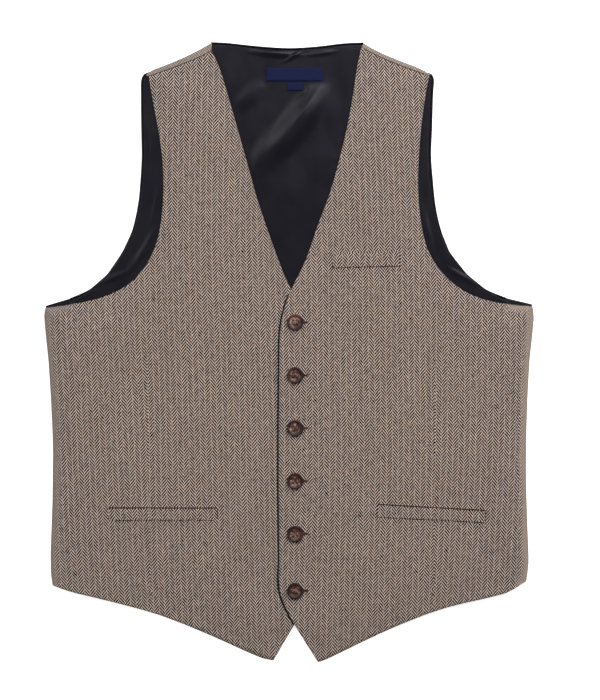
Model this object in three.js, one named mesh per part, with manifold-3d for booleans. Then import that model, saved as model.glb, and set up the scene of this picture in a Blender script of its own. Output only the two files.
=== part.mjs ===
// Suit waistcoat, buttoned and laid flat on its back.
// Millimetres. X runs to the wearer's left, Y to the neck, Z up from the surface that it lies on.
// The origin is the middle of the underside.

import * as THREE from 'three';
import { mergeVertices } from 'three/addons/utils/BufferGeometryUtils.js';
import Module from 'manifold-3d';

const wasm = await Module();
wasm.setup();

// Cloth thicknesses and the gap that parts one piece from the next
const GAP = 0.3;
const BACK_CLOTH = 1.2;
const LINING_CLOTH = 1.0;
const FRONT_CLOTH = 2.0;
const WELT_CLOTH = 1.1;
const LABEL_CLOTH = 1.0;
const ROUNDED_EDGE = 0.45;
const MERGE_WITHIN = 0.001;

// Heights of the layers above the surface
const BACK_TOP = BACK_CLOTH;
const LINING_BOTTOM = BACK_TOP + GAP;
const LINING_TOP = LINING_BOTTOM + LINING_CLOTH;
const FRONT_BOTTOM = LINING_TOP + GAP;
const SIDE_BOTTOM = BACK_TOP + GAP;

// Where the left front lies over the right front
const OVERLAP = {
  lift: FRONT_CLOTH + 2 * GAP,
  fullTo: 27,
  goneBy: 50,
  top: 72,
  startsAt: 104,
  end: -296,
  goneAt: -320,
};

// The sides, where the fronts roll down to the back
const SIDE = { underarm: 46, fullBy: 24, roll: 15, liningInset: 19 };

// The hem of the back, a shallow bow that the fronts cover
const BACK_HEM = { halfWidth: 252, sideY: -240, bow: 38 };
const HEM_FALL = { startsBelow: 6, over: 28 };

// The strips past the shoulder seams: columns along the seam, rows across it and how late they fall
const STRIP = { columns: 9, rows: [0, 0.35, 0.7, 1], fall: 1.5 };

// Darts, as a shallow groove down each front
const DART = { column: 0.623, halfWidth: 0.011, depth: 0.45, top: 14, fullBy: -12 };

const BUTTON = {
  diameter: 17.6,
  thickness: 3.2,
  holeDiameter: 1.9,
  holeSpacing: 3.9,
  sides: 28,
  holeSides: 8,
};
const BUTTON_LINE = { x: 6.6, first: 32, pitch: 56.2, inPitch: 5, last: -253.5 };
const QUARTERS = [[-1, -1], [1, -1], [1, 1], [-1, 1]];
const WELT_GRID = { columns: 11, rows: 3 };
const LABEL_GRID = { columns: 9, rows: 3 };

const COLOURS = {
  tweed: { color: 0x81736a, roughness: 0.95 },
  satin: { color: 0x1c1b22, roughness: 0.4 },
  resin: { color: 0x4a2f25, roughness: 0.25 },
  tape: { color: 0x1e2749, roughness: 0.75 },
};

// Rows of values as objects with named columns
const table = (names, rows) => rows.map((row) => Object.fromEntries(names.map((name, i) => [name, row[i]])));

// Left front: its front edge from the shoulder down the neck and the cutaway to the point,
// beside its side edge from the shoulder down the armhole and the side to the hem
const LEFT_FRONT = table(['frontX', 'frontY', 'sideX', 'sideY', 'sideCorner'], [
  [77.0, 325.0, 149.5, 295.0],
  [72.5, 305.0, 146.0, 277.5],
  [68.5, 277.5, 141.5, 245.5],
  [61.5, 239.0, 138.5, 210.5],
  [52.5, 202.0, 137.5, 175.0],
  [42.0, 165.5, 140.5, 139.0],
  [31.0, 137.0, 147.0, 111.5],
  [18.5, 100.5, 158.5, 91.0],
  [10.5, 83.5, 175.5, 73.0],
  [2.5, 67.5, 195.0, 61.0],
  [-2.5, 55.0, 222.0, 53.0],
  [-6.5, 41.0, 259.5, 49.5, true],
  [-10.0, 18.5, 261.0, 36.5],
  [-10.5, -21.0, 256.5, -8.0],
  [-11.0, -82.5, 253.0, -88.0],
  [-11.0, -157.0, 253.0, -146.5],
  [-10.5, -221.0, 255.0, -205.0],
  [-10.0, -255.0, 255.5, -223.0],
  [5.5, -289.5, 254.5, -234.0],
  [31.0, -330.5, 253.0, -244.0],
]);
const LEFT_SHOULDER = table(['x', 'y'], [
  [77.0, 325.0], [90.5, 317.5], [117.0, 306.0], [141.0, 297.5], [149.5, 295.0],
]);
const LEFT_HEM = table(['x', 'y'], [
  [31.0, -330.5], [39.5, -327.5], [72.5, -311.5], [106.5, -295.5], [142.5, -280.5], [171.5, -271.0],
  [200.5, -264.0], [230.0, -257.0], [253.0, -244.0],
]);

// Right front, the one underneath
const RIGHT_FRONT = table(['frontX', 'frontY', 'sideX', 'sideY', 'sideCorner'], [
  [-82.5, 321.5, -149.5, 294.0],
  [-75.5, 307.0, -147.0, 277.5],
  [-66.0, 277.5, -141.0, 245.5],
  [-55.0, 239.0, -135.5, 210.5],
  [-44.5, 202.0, -134.0, 175.0],
  [-34.5, 165.5, -136.5, 139.0],
  [-25.0, 137.0, -143.0, 111.5],
  [-12.0, 100.5, -154.5, 90.0],
  [-5.5, 83.5, -170.5, 73.0],
  [2.0, 67.5, -191.5, 61.5],
  [10.5, 50.5, -219.0, 53.5],
  [19.0, 32.5, -259.5, 48.0, true],
  [23.5, 13.5, -261.0, 39.0],
  [23.5, -21.0, -256.5, -8.0],
  [23.5, -82.5, -252.0, -88.0],
  [23.5, -157.0, -251.5, -146.5],
  [23.5, -221.0, -254.0, -210.5],
  [22.5, -257.0, -254.0, -228.0],
  [6.0, -289.5, -253.5, -238.0],
  [-16.5, -328.5, -252.0, -248.5],
]);
const RIGHT_SHOULDER = table(['x', 'y'], [
  [-82.5, 321.5], [-93.0, 315.5], [-117.0, 305.5], [-141.0, 297.0], [-149.5, 294.0],
]);
const RIGHT_HEM = table(['x', 'y'], [
  [-16.5, -328.5], [-29.0, -326.0], [-62.0, -311.5], [-98.0, -295.5], [-137.5, -280.0], [-172.5, -270.0],
  [-198.0, -263.5], [-233.0, -255.0], [-252.0, -248.5],
]);

// The fold past each shoulder seam, from the neck to the armhole
const LEFT_FOLD = table(['x', 'y'], [
  [79.5, 329.6], [94.0, 321.5], [117.0, 311.5], [141.5, 302.0], [152.0, 295.5],
]);
const RIGHT_FOLD = table(['x', 'y'], [
  [-82.0, 330.4], [-104.0, 318.5], [-129.0, 307.5], [-148.0, 300.0], [-153.5, 295.0],
]);

// Back: its two side edges from the shoulder tips down the armholes and the sides to the hem
const BACK_SIDES = table(['rightX', 'rightY', 'leftX', 'leftY'], [
  [-154.0, 297.5, 151.5, 297.5],
  [-157.0, 291.0, 154.0, 291.0],
  [-157.3, 275.0, 153.0, 275.0],
  [-157.0, 240.0, 152.0, 240.0],
  [-156.5, 210.5, 151.0, 210.5],
  [-158.0, 183.5, 153.0, 183.5],
  [-160.5, 159.0, 156.0, 156.0],
  [-167.0, 130.5, 162.0, 130.5],
  [-178.0, 107.0, 171.5, 107.0],
  [-194.0, 83.5, 190.0, 83.5],
  [-213.0, 67.0, 210.5, 67.0],
  [-234.0, 57.5, 232.0, 58.0],
  [-259.5, 50.0, 259.5, 51.5],
  [-260.8, 39.0, 260.5, 38.0],
  [-255.8, -8.0, 255.8, -8.0],
  [-251.6, -88.0, 252.4, -88.0],
  [-252.3, -157.0, 252.4, -150.0],
  [-254.4, -215.0, 254.4, -205.0],
  [-252.0, -240.0, 252.0, -240.0],
]);
const BACK_TOP_EDGE = table(['x', 'y'], [
  [-154.0, 297.5], [-146.0, 300.6], [-128.5, 306.8], [-104.5, 317.4], [-83.5, 329.6],
  [-64.0, 328.5], [-33.0, 325.2], [0.0, 323.2], [31.0, 325.0], [57.5, 328.2], [79.5, 329.2],
  [95.0, 320.2], [116.5, 310.6], [139.0, 301.8], [151.5, 297.5],
]);
// The lining ends a little inside the back's edges, and its folds show only clear of the fronts
const LINING = {
  inset: 1.6,
  armholeEnd: 62,
  armholeFade: 12,
  underSeam: 1.2,
  aboveHem: 8,
  clearOf: 12,
  fullBy: 28,
};
const NECK_POINTS = [4, 10];

// Soft swells of the fronts: centre, half length, half width, turn in degrees and rise
const FRONT_SWELLS = table(['x', 'y', 'long', 'wide', 'turn', 'rise'], [
  [-105, 165, 60, 26, 105, 0.9],
  [-150, 20, 78, 34, 20, 1.3],
  [-90, -70, 80, 42, 95, 1.0],
  [-185, -115, 58, 26, -8, 1.2],
  [-120, -232, 74, 36, 12, 1.2],
  [-80, 60, 56, 34, 70, 0.8],
  [100, 175, 56, 24, 78, 0.9],
  [160, 12, 76, 34, -24, 1.2],
  [105, -75, 74, 36, 84, 1.1],
  [200, -110, 54, 30, 60, 1.0],
  [135, -228, 78, 32, -10, 1.3],
  [95, 55, 48, 30, 100, 0.8],
]);

// Folds of the lining where the neck shows it
const LINING_FOLDS = table(['x', 'y', 'long', 'wide', 'turn', 'rise'], [
  [15, 240, 58, 17, 66, 1.4],
  [-36, 226, 40, 16, 52, 1.0],
  [34, 276, 40, 15, 62, 0.9],
  [0, 175, 46, 18, 96, 1.1],
]);

// Welts by their four corners, first the top edge and then the bottom edge
const WELTS = table([
  'name', 'on', 'topX1', 'topY1', 'topX2', 'topY2', 'bottomX1', 'bottomY1', 'bottomX2', 'bottomY2',
], [
  ['welt_chest', 'left', 47.0, 105.5, 117.5, 107.7, 47.0, 90.2, 117.5, 92.2],
  ['welt_lower_left', 'left', 94.0, -162.0, 208.5, -168.5, 94.0, -174.8, 208.2, -180.8],
  ['welt_lower_right', 'right', -191.5, -165.7, -76.5, -166.0, -191.5, -178.6, -76.5, -178.2],
]);

// Labels on the lining below the neck edge
const LABELS = table(['name', 'x', 'y', 'width', 'height'], [
  ['neck_label', 6.0, 296.4, 60.5, 14.4],
  ['size_tab', 6.3, 283.6, 16.4, 8.6],
]);

const smooth = (t) => THREE.MathUtils.smoothstep(t, 0, 1);
const point = ({ x, y, z = 0 }) => new THREE.Vector3(x, y, z);

// Points of a smooth line through a table's points, with so many steps to each stretch.
// A corner ends one smooth line and starts the next.
function smoothLine(points, steps) {
  const line = [point(points[0])];
  let start = 0;
  for (let i = 1; i < points.length; i += 1) {
    if (points[i].corner || i === points.length - 1) {
      const curve = new THREE.CatmullRomCurve3(points.slice(start, i + 1).map(point), false, 'centripetal');
      const count = (i - start) * steps;
      for (let k = 1; k <= count; k += 1) line.push(curve.getPoint(k / count));
      start = i;
    }
  }
  return line;
}

// A grid of points inside four edges: first and last are its side edges, top and bottom run across
function grid(first, last, top, bottom, shares) {
  return first.map((a, row) => {
    const down = row / (first.length - 1);
    const b = last[row];
    return shares.map((across, column) => {
      const sides = a.clone().lerp(b, across);
      const ends = top[column].clone().lerp(bottom[column], down);
      const upper = top[0].clone().lerp(top[top.length - 1], across);
      const lower = bottom[0].clone().lerp(bottom[bottom.length - 1], across);
      return sides.add(ends).sub(upper.lerp(lower, down));
    });
  });
}

// A closed wall of cloth on a grid of underside points, with its edge rounded.
// The groove gives how far the top is sunk at a row and a column.
function wall(underside, thickness, groove = () => 0) {
  const rows = underside.length;
  const columns = underside[0].length;
  const positions = [];
  const add = (p) => positions.push(p.x, p.y, p.z) / 3 - 1;
  const inward = (row, column) => {
    const innerRow = THREE.MathUtils.clamp(row, 1, rows - 2);
    const inner = underside[innerRow][THREE.MathUtils.clamp(column, 1, columns - 2)];
    const p = underside[row][column];
    const pull = inner.clone().sub(p).setZ(0);
    return pull.lengthSq() > 0 ? p.clone().addScaledVector(pull.normalize(), ROUNDED_EDGE) : p.clone();
  };
  const layer = (lift) => underside.map((line, row) => line.map((_, column) => {
    const p = inward(row, column);
    p.z += lift(row, column);
    return add(p);
  }));
  const bottom = layer(() => 0);
  const top = layer((row, column) => thickness - groove(row, column));
  const around = [];
  for (let c = 0; c < columns; c += 1) around.push([0, c]);
  for (let r = 1; r < rows; r += 1) around.push([r, columns - 1]);
  for (let c = columns - 2; c >= 0; c -= 1) around.push([rows - 1, c]);
  for (let r = rows - 2; r > 0; r -= 1) around.push([r, 0]);
  const middle = around.map(([r, c]) => add(underside[r][c].clone().setZ(underside[r][c].z + thickness / 2)));
  const faces = [];
  const spot = (i) => new THREE.Vector3().fromArray(positions, i * 3);
  const quad = (a, b, c, d) => {
    const even = spot(a).distanceTo(spot(c)) <= spot(b).distanceTo(spot(d));
    faces.push(...(even ? [a, b, c, a, c, d] : [a, b, d, b, c, d]));
  };
  for (let r = 0; r < rows - 1; r += 1) {
    for (let c = 0; c < columns - 1; c += 1) {
      quad(top[r][c], top[r + 1][c], top[r + 1][c + 1], top[r][c + 1]);
      quad(bottom[r][c], bottom[r][c + 1], bottom[r + 1][c + 1], bottom[r + 1][c]);
    }
  }
  around.forEach(([r, c], i) => {
    const j = (i + 1) % around.length;
    const [nextR, nextC] = around[j];
    quad(top[r][c], top[nextR][nextC], middle[j], middle[i]);
    quad(middle[i], middle[j], bottom[nextR][nextC], bottom[r][c]);
  });
  return outward(positions, faces);
}

// A geometry whose faces point out
function outward(positions, faces) {
  const spot = (i) => new THREE.Vector3().fromArray(positions, faces[i] * 3);
  let volume = 0;
  for (let i = 0; i < faces.length; i += 3) volume += spot(i).dot(spot(i + 1).cross(spot(i + 2)));
  if (volume < 0) {
    for (let i = 0; i < faces.length; i += 3) [faces[i + 1], faces[i + 2]] = [faces[i + 2], faces[i + 1]];
  }
  const geometry = new THREE.BufferGeometry();
  geometry.setAttribute('position', new THREE.Float32BufferAttribute(positions, 3));
  geometry.setIndex(faces);
  geometry.computeVertexNormals();
  return geometry;
}

// Rise of a table of soft swells at a place
function swell(swells, x, y) {
  const centre = new THREE.Vector2();
  return swells.reduce((sum, { x: centreX, y: centreY, long, wide, turn, rise }) => {
    const away = new THREE.Vector2(x - centreX, y - centreY);
    away.rotateAround(centre, -THREE.MathUtils.degToRad(turn));
    const reach = Math.hypot(away.x / long, away.y / wide);
    return reach < 1 ? sum + rise * Math.cos(reach * Math.PI / 2) ** 2 : sum;
  }, 0);
}

// Place along a table's edge at a height, between its rows
function edgeX(edges, axis, y) {
  const below = edges.findIndex((row) => row[`${axis}Y`] <= y);
  if (below <= 0) return edges[0][`${axis}X`];
  const [a, b] = [edges[below - 1], edges[below]];
  return THREE.MathUtils.mapLinear(y, a[`${axis}Y`], b[`${axis}Y`], a[`${axis}X`], b[`${axis}X`]);
}

// How far a place of the lining lies out from under the fronts, in the neck
function clearOfFronts(x, y) {
  return Math.min(x - edgeX(RIGHT_FRONT, 'front', y), edgeX(LEFT_FRONT, 'front', y) - x);
}

const backHemY = (x) => BACK_HEM.sideY - BACK_HEM.bow * (1 - (x / BACK_HEM.halfWidth) ** 2);

// Height of the underside of a front, from the place and the distance to its side edge
function frontUnderside(x, y, fromSide, overlaps) {
  const lying = FRONT_BOTTOM + swell(FRONT_SWELLS, x, y);
  const belowArm = smooth((SIDE.underarm - y) / (SIDE.underarm - SIDE.fullBy));
  const roll = (FRONT_BOTTOM - SIDE_BOTTOM) * belowArm * (1 - smooth(fromSide / SIDE.roll));
  const fall = FRONT_BOTTOM * smooth((backHemY(x) - HEM_FALL.startsBelow - y) / HEM_FALL.over);
  const floorLevel = Math.max(lying - roll - fall, 0);
  if (!overlaps) return floorLevel;
  const across = smooth((OVERLAP.goneBy - x) / (OVERLAP.goneBy - OVERLAP.fullTo));
  const neck = smooth((OVERLAP.startsAt - y) / (OVERLAP.startsAt - OVERLAP.top));
  const hem = smooth((y - OVERLAP.goneAt) / (OVERLAP.end - OVERLAP.goneAt));
  return floorLevel + OVERLAP.lift * across * neck * hem;
}

// Columns of a front, as shares of its width, close together at the edges and at the dart
const FRONT_COLUMNS = [
  0, 0.014, 0.05, 0.12, 0.21, 0.31, 0.41, 0.52,
  DART.column - DART.halfWidth, DART.column, DART.column + DART.halfWidth,
  0.72, 0.81, 0.89, 0.935, 0.967, 0.988, 1,
];
const FRONT_STEPS = 2;

function front(edges, shoulder, hem, overlaps) {
  const frontEdge = smoothLine(edges.map(({ frontX: x, frontY: y }) => ({ x, y })), FRONT_STEPS);
  const sidePoints = edges.map(({ sideX: x, sideY: y, sideCorner: corner }) => ({ x, y, corner }));
  const sideEdge = smoothLine(sidePoints, FRONT_STEPS);
  const across = (points) => {
    const curve = new THREE.CatmullRomCurve3(points.map(point), false, 'centripetal');
    return FRONT_COLUMNS.map((share) => curve.getPointAt(share));
  };
  const underside = grid(frontEdge, sideEdge, across(shoulder), across(hem), FRONT_COLUMNS);
  underside.forEach((line, row) => line.forEach((p) => {
    p.z = frontUnderside(p.x, p.y, Math.abs(p.x - sideEdge[row].x), overlaps);
  }));
  const dart = FRONT_COLUMNS.indexOf(DART.column);
  return wall(underside, FRONT_CLOTH, (row, column) => {
    const depth = DART.depth * smooth((DART.top - underside[row][column].y) / (DART.top - DART.fullBy));
    return column === dart ? depth : 0;
  });
}

// The strip of tweed past a shoulder seam, which rolls down to the back
function shoulderStrip(shoulder, fold) {
  const shares = Array.from({ length: STRIP.columns }, (_, i) => i / (STRIP.columns - 1));
  const seam = new THREE.CatmullRomCurve3(shoulder.map(point), false, 'centripetal');
  const edge = new THREE.CatmullRomCurve3(fold.map(point), false, 'centripetal');
  const underside = STRIP.rows.map((down) => shares.map((share) => {
    const start = seam.getPointAt(share);
    const end = edge.getPointAt(share);
    const toFold = end.clone().sub(start).normalize();
    const p = start.addScaledVector(toFold, GAP).lerp(end, down);
    p.z = THREE.MathUtils.lerp(FRONT_BOTTOM, SIDE_BOTTOM, down ** STRIP.fall);
    return p;
  }));
  return wall(underside, FRONT_CLOTH);
}

// A panel of the back's shape, whose hem lies so far above the back's hem
function backShape(right, left, top, aboveHem) {
  const last = top.length - 1;
  const shares = top.map((p) => (p.x - top[0].x) / (top[last].x - top[0].x));
  const [rightHem, leftHem] = [right, left].map((side) => side[side.length - 1]);
  const hem = shares.map((share) => {
    const x = THREE.MathUtils.lerp(rightHem.x, leftHem.x, share);
    return new THREE.Vector3(x, backHemY(x) + aboveHem, 0);
  });
  rightHem.copy(hem[0]);
  leftHem.copy(hem[last]);
  return grid(right, left, top, hem, shares);
}

// One side edge of the back from its table, changed by a function of its rows
function backSide(side, change = (row) => row) {
  return BACK_SIDES.map((row) => point(change({ x: row[`${side}X`], y: row[`${side}Y`] })));
}

function backPanel() {
  return backShape(backSide('right'), backSide('left'), BACK_TOP_EDGE.map(point), 0);
}

// The lining follows the back, a little inside its neck and armhole edges and well inside its sides
function liningPanel() {
  const inset = (sign) => ({ x, y }) => {
    const atSide = smooth((LINING.armholeEnd - y) / LINING.armholeFade);
    const across = THREE.MathUtils.lerp(LINING.inset, SIDE.liningInset, atSide);
    return { x: x + sign * across, y: y - atSide * LINING.inset };
  };
  const [right, left] = [backSide('right', inset(1)), backSide('left', inset(-1))];
  const below = (drop) => ({ x, y }) => new THREE.Vector3(x, y - drop, 0);
  const top = [
    ...[...RIGHT_SHOULDER].reverse().map(below(LINING.underSeam)),
    ...BACK_TOP_EDGE.slice(NECK_POINTS[0] + 1, NECK_POINTS[1]).map(below(LINING.inset)),
    ...LEFT_SHOULDER.map(below(LINING.underSeam)),
  ];
  right[0].y = top[0].y;
  left[0].y = top[top.length - 1].y;
  top[0].copy(right[0]);
  top[top.length - 1].copy(left[0]);
  const underside = backShape(right, left, top, LINING.aboveHem);
  underside.forEach((line) => line.forEach((p) => {
    const clear = clearOfFronts(p.x, p.y) - LINING.clearOf;
    const shows = smooth(clear / (LINING.fullBy - LINING.clearOf));
    p.z = LINING_BOTTOM + shows * swell(LINING_FOLDS, p.x, p.y);
  }));
  return underside;
}

// Height of a piece's upper face under a place
const straightDown = new THREE.Vector3(0, 0, -1);
function heightOn(mesh, x, y) {
  const ray = new THREE.Raycaster(new THREE.Vector3(x, y, 50), straightDown);
  return ray.intersectObject(mesh)[0].point.z;
}

// A welt or label laid on another piece, made from that piece's points moved out
function laidOn(carrier, corners, thickness, { columns, rows }) {
  const [topStart, topEnd, bottomStart, bottomEnd] = corners.map(([x, y]) => new THREE.Vector3(x, y, 0));
  const underside = Array.from({ length: rows }, (_, r) => Array.from({ length: columns }, (__, c) => {
    const upper = topStart.clone().lerp(topEnd, c / (columns - 1));
    const lower = bottomStart.clone().lerp(bottomEnd, c / (columns - 1));
    const p = upper.lerp(lower, r / (rows - 1));
    p.z = heightOn(carrier, p.x, p.y) + GAP;
    return p;
  }));
  return wall(underside, thickness);
}

// Solids for cutting, made from closed geometries
function solid(geometry) {
  const bare = geometry.clone();
  bare.deleteAttribute('normal');
  bare.deleteAttribute('uv');
  const merged = mergeVertices(bare, MERGE_WITHIN);
  return new wasm.Manifold(new wasm.Mesh({
    numProp: 3,
    vertProperties: new Float32Array(merged.attributes.position.array),
    triVerts: new Uint32Array(merged.index.array),
  }));
}

// A four-hole button: raised rim, dished middle
function buttonGeometry() {
  const radius = BUTTON.diameter / 2;
  const high = BUTTON.thickness;
  const profile = table(['r', 'z'], [
    [0, 0], [0.80, 0], [0.97, 0.26], [1, 0.58], [0.94, 0.9], [0.84, 1], [0.72, 0.9], [0.6, 0.64], [0, 0.56],
  ]).map(({ r, z }) => new THREE.Vector2(r * radius, z * high));
  const turned = new THREE.LatheGeometry(profile, BUTTON.sides).rotateX(Math.PI / 2);
  let body = solid(turned);
  const holeRadius = BUTTON.holeDiameter / 2;
  const out = BUTTON.holeSpacing / 2;
  for (const [across, up] of QUARTERS) {
    const drill = new THREE.CylinderGeometry(holeRadius, holeRadius, high * 3, BUTTON.holeSides);
    drill.rotateX(Math.PI / 2).translate(across * out, up * out, 0);
    body = body.subtract(solid(drill));
  }
  const { vertProperties, triVerts } = body.getMesh();
  return outward(Array.from(vertProperties), Array.from(triVerts));
}

const garment = new THREE.Group();

function piece(name, geometry, colour) {
  const material = new THREE.MeshStandardMaterial({ ...COLOURS[colour], metalness: 0 });
  const mesh = new THREE.Mesh(geometry, material);
  mesh.name = name;
  garment.add(mesh);
  return mesh;
}

piece('back', wall(backPanel(), BACK_CLOTH), 'satin');
const lining = piece('back_lining', wall(liningPanel(), LINING_CLOTH), 'satin');
const fronts = {
  right: piece('front_right', front(RIGHT_FRONT, RIGHT_SHOULDER, RIGHT_HEM, false), 'tweed'),
  left: piece('front_left', front(LEFT_FRONT, LEFT_SHOULDER, LEFT_HEM, true), 'tweed'),
};
piece('shoulder_right', shoulderStrip(RIGHT_SHOULDER, RIGHT_FOLD), 'tweed');
piece('shoulder_left', shoulderStrip(LEFT_SHOULDER, LEFT_FOLD), 'tweed');

for (const welt of WELTS) {
  const corners = [
    [welt.topX1, welt.topY1], [welt.topX2, welt.topY2],
    [welt.bottomX1, welt.bottomY1], [welt.bottomX2, welt.bottomY2],
  ];
  piece(welt.name, laidOn(fronts[welt.on], corners, WELT_CLOTH, WELT_GRID), 'tweed');
}

for (const { name, x, y, width, height } of LABELS) {
  const [west, east, north, south] = [x - width / 2, x + width / 2, y + height / 2, y - height / 2];
  const corners = [[west, north], [east, north], [west, south], [east, south]];
  piece(name, laidOn(lining, corners, LABEL_CLOTH, LABEL_GRID), 'tape');
}

const inPitch = Array.from({ length: BUTTON_LINE.inPitch }, (_, i) => i);
const pitched = inPitch.map((i) => BUTTON_LINE.first - i * BUTTON_LINE.pitch);
[...pitched, BUTTON_LINE.last].forEach((y, i) => {
  const button = piece(`button_${i + 1}`, buttonGeometry(), 'resin');
  const reach = BUTTON.diameter / 2 * Math.SQRT1_2;
  const { x } = BUTTON_LINE;
  const under = QUARTERS.map(([across, up]) => heightOn(fronts.left, x + across * reach, y + up * reach));
  button.position.set(x, y, Math.max(...under) + GAP);
});

const bounds = new THREE.Box3().setFromObject(garment);
const middle = bounds.getCenter(new THREE.Vector3());
garment.position.set(-middle.x, -middle.y, -bounds.min.z);

export default garment;
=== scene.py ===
"""Finish, light and camera for a buttoned suit waistcoat that lies flat on a pale surface."""

import math

import bmesh
import bpy
from mathutils import Matrix, Vector, kdtree, noise
from mathutils.bvhtree import BVHTree


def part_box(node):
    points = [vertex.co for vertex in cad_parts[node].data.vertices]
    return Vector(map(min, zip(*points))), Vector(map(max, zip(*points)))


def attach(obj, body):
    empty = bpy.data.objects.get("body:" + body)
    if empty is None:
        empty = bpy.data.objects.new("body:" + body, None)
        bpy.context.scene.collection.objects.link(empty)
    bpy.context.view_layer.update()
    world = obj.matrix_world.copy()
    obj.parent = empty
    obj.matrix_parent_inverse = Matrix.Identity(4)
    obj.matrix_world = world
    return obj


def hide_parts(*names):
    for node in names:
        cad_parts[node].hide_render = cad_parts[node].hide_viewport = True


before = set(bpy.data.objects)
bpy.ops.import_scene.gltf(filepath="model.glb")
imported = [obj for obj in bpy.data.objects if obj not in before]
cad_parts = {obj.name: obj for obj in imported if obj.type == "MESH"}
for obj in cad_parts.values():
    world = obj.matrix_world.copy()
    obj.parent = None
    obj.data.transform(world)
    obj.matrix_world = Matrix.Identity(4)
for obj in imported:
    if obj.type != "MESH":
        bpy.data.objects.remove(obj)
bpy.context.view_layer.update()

# Units: the frame is in metres, and the sizes below are in millimetres
MM = 0.001

# Vertices of a solid that lie this close are one
MERGE_WITHIN = 0.02

# The photograph: its frame in pixels, the size of a pixel and the frame's middle on the cloth
PHOTO_WIDTH_PX = 600
MM_PER_PX = 1.065
VIEW_CENTRE = (11.7, 2.7)
CLOTH_LEVEL = 5
CAMERA_HEIGHT = 2600
SENSOR_MM = 36

# Herringbone tweed: a two-and-two twill whose direction turns every eight threads
WARP_PITCH = 0.756
WEFT_PITCH = 0.89
COLUMN_THREADS = 8

# Lean of the warp in degrees, clockwise going down, by height, for each front
LEAN_RIGHT = [
    (330, -1.0), (180, -1.0), (100, 1.6), (40, 2.0), (-40, 1.6), (-130, 0.9), (-215, 1.8), (-330, 2.6),
]
LEAN_LEFT = [
    (330, 1.5), (180, 2.4), (100, 1.4), (40, -0.2), (-10, 1.2), (-80, 0.4), (-130, -0.8), (-215, -1.5),
    (-330, -0.6),
]
LEAN_STEPS = 12

# Darts: the line of each by (x, y) at its top and at the hem, and the cloth it takes in per mm of length
DARTS = {
    "right": {"top": (-150.9, 14), "hem": (-147.7, -280), "side": -1, "take": 0.02},
    "left": {"top": (155.9, 14), "hem": (153.9, -280), "side": 1, "take": 0.02},
}
DART_FADE = 30
DART_TROUGH = {"depth": 0.9, "width": 2.2}

# Where the parts of a front's edge meet: the hem's corner, the underarm and the foot of the neck
HEM_CORNER = {"x": 236, "y": -238, "seam_ends": -246}
UNDERARM = 52
NECK_FOOT = {"x": 35, "y": 66, "slope": 0.3}

# Points of an edge are put this close together, but not across a gap this long
EDGE_POINTS = {"apart": 3, "gap": 60}

# Rounding of the fronts: its rise, its width at each part of the edge and how far the neck holds it down
ROUNDING = {"rise": 4.5, "seam": 34, "side": 34, "hem": 160, "neck": 40}

# Last turn of the cloth over the side seams: its drop, its width and how even the weave looks there, where
# its colour also carries painted light and shade
TURN_OVER = {"drop": 1.9, "over": 12, "even": 1.0}

# Creases of the fronts: centre, half length, width to each side, turn in degrees and rise
FRONT_CREASES = [
    (-149, 6, 66, 14, 8, 90, -1.6),
    (-147, -214, 52, 12, 7, 90, -1.2),
    (158, 4, 60, 14, 8, 88, -1.6),
    (-214, -128, 46, 8, 5, 6, 1.12),
    (-226, -70, 34, 9, 6, 72, 0.84),
    (-196, 24, 52, 12, 9, -30, 1.12),
    (-120, 96, 60, 13, 10, 62, 0.7),
    (-60, 12, 46, 12, 9, 100, 0.7),
    (-66, -214, 52, 13, 10, 82, 0.84),
    (-176, -222, 50, 12, 9, 14, 0.98),
    (-92, -292, 40, 9, 6, 26, 0.7),
    (-112, 250, 52, 10, 7, 100, 0.56),
    (206, 22, 50, 12, 9, 33, 1.12),
    (222, -92, 42, 9, 6, -70, 0.84),
    (228, -196, 36, 9, 6, -12, 0.98),
    (86, -8, 58, 14, 11, 84, 0.7),
    (128, 60, 54, 12, 9, -62, 0.56),
    (66, -232, 48, 12, 9, 96, 0.7),
    (160, -252, 52, 11, 8, -16, 0.84),
    (108, 236, 48, 10, 7, 82, 0.56),
]

# Folds of the lining: centre, half length, width on the left and on the right, turn and rise
LINING_FOLDS = [
    (9, 246, 58, 22, 22, 56, 5.2),
    (16, 276, 22, 4, 4, 50, 0.7),
    (17, 260, 38, 2.6, 3.4, 54, 0.6),
    (-20, 218, 46, 20, 24, 52, 2.4),
    (-42, 274, 28, 14, 15, 44, 1.4),
    (34, 210, 60, 18, 26, 86, 0.9),
    (4, 315, 17, 4, 2.2, 33, 1.2),
    (-14, 319, 36, 5, 6, -4, 1.5),
    (34, 319, 22, 4, 4, 8, 0.9),
    (-12, 150, 54, 20, 22, 80, 0.6),
    (-150, 118, 30, 6, 3, 58, 0.6),
    (-160, 99, 34, 8, 4, 52, 0.8),
    (-142, 160, 40, 4, 4, 80, 0.4),
    (-146, 215, 44, 4, 4, 92, 0.3),
    (-186, 80, 26, 6, 4, 24, 0.6),
    (148, 130, 38, 6, 4, 102, 0.6),
    (148, 186, 44, 6, 3, 88, 0.5),
    (152, 102, 30, 5, 5, 128, 0.5),
    (184, 82, 26, 6, 4, 150, 0.5),
]

# Soft troughs in the underside of the back, which lies on the floor
BACK_TROUGHS = [
    (-150, 60, 90, 11, 9, 62, 0.5),
    (150, 46, 96, 12, 9, 118, 0.5),
    (-70, -40, 120, 9, 12, 80, 0.45),
    (84, -70, 110, 12, 9, 102, 0.5),
    (10, 150, 80, 8, 10, 92, 0.4),
    (-60, 210, 60, 8, 8, 64, 0.45),
    (62, 226, 56, 8, 10, 118, 0.4),
    (-190, -150, 60, 9, 8, 22, 0.5),
    (196, -120, 66, 8, 9, -28, 0.5),
    (0, -190, 130, 10, 12, 4, 0.45),
    (-110, 262, 40, 7, 7, 30, 0.4),
    (118, 258, 42, 7, 7, 150, 0.4),
]

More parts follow.
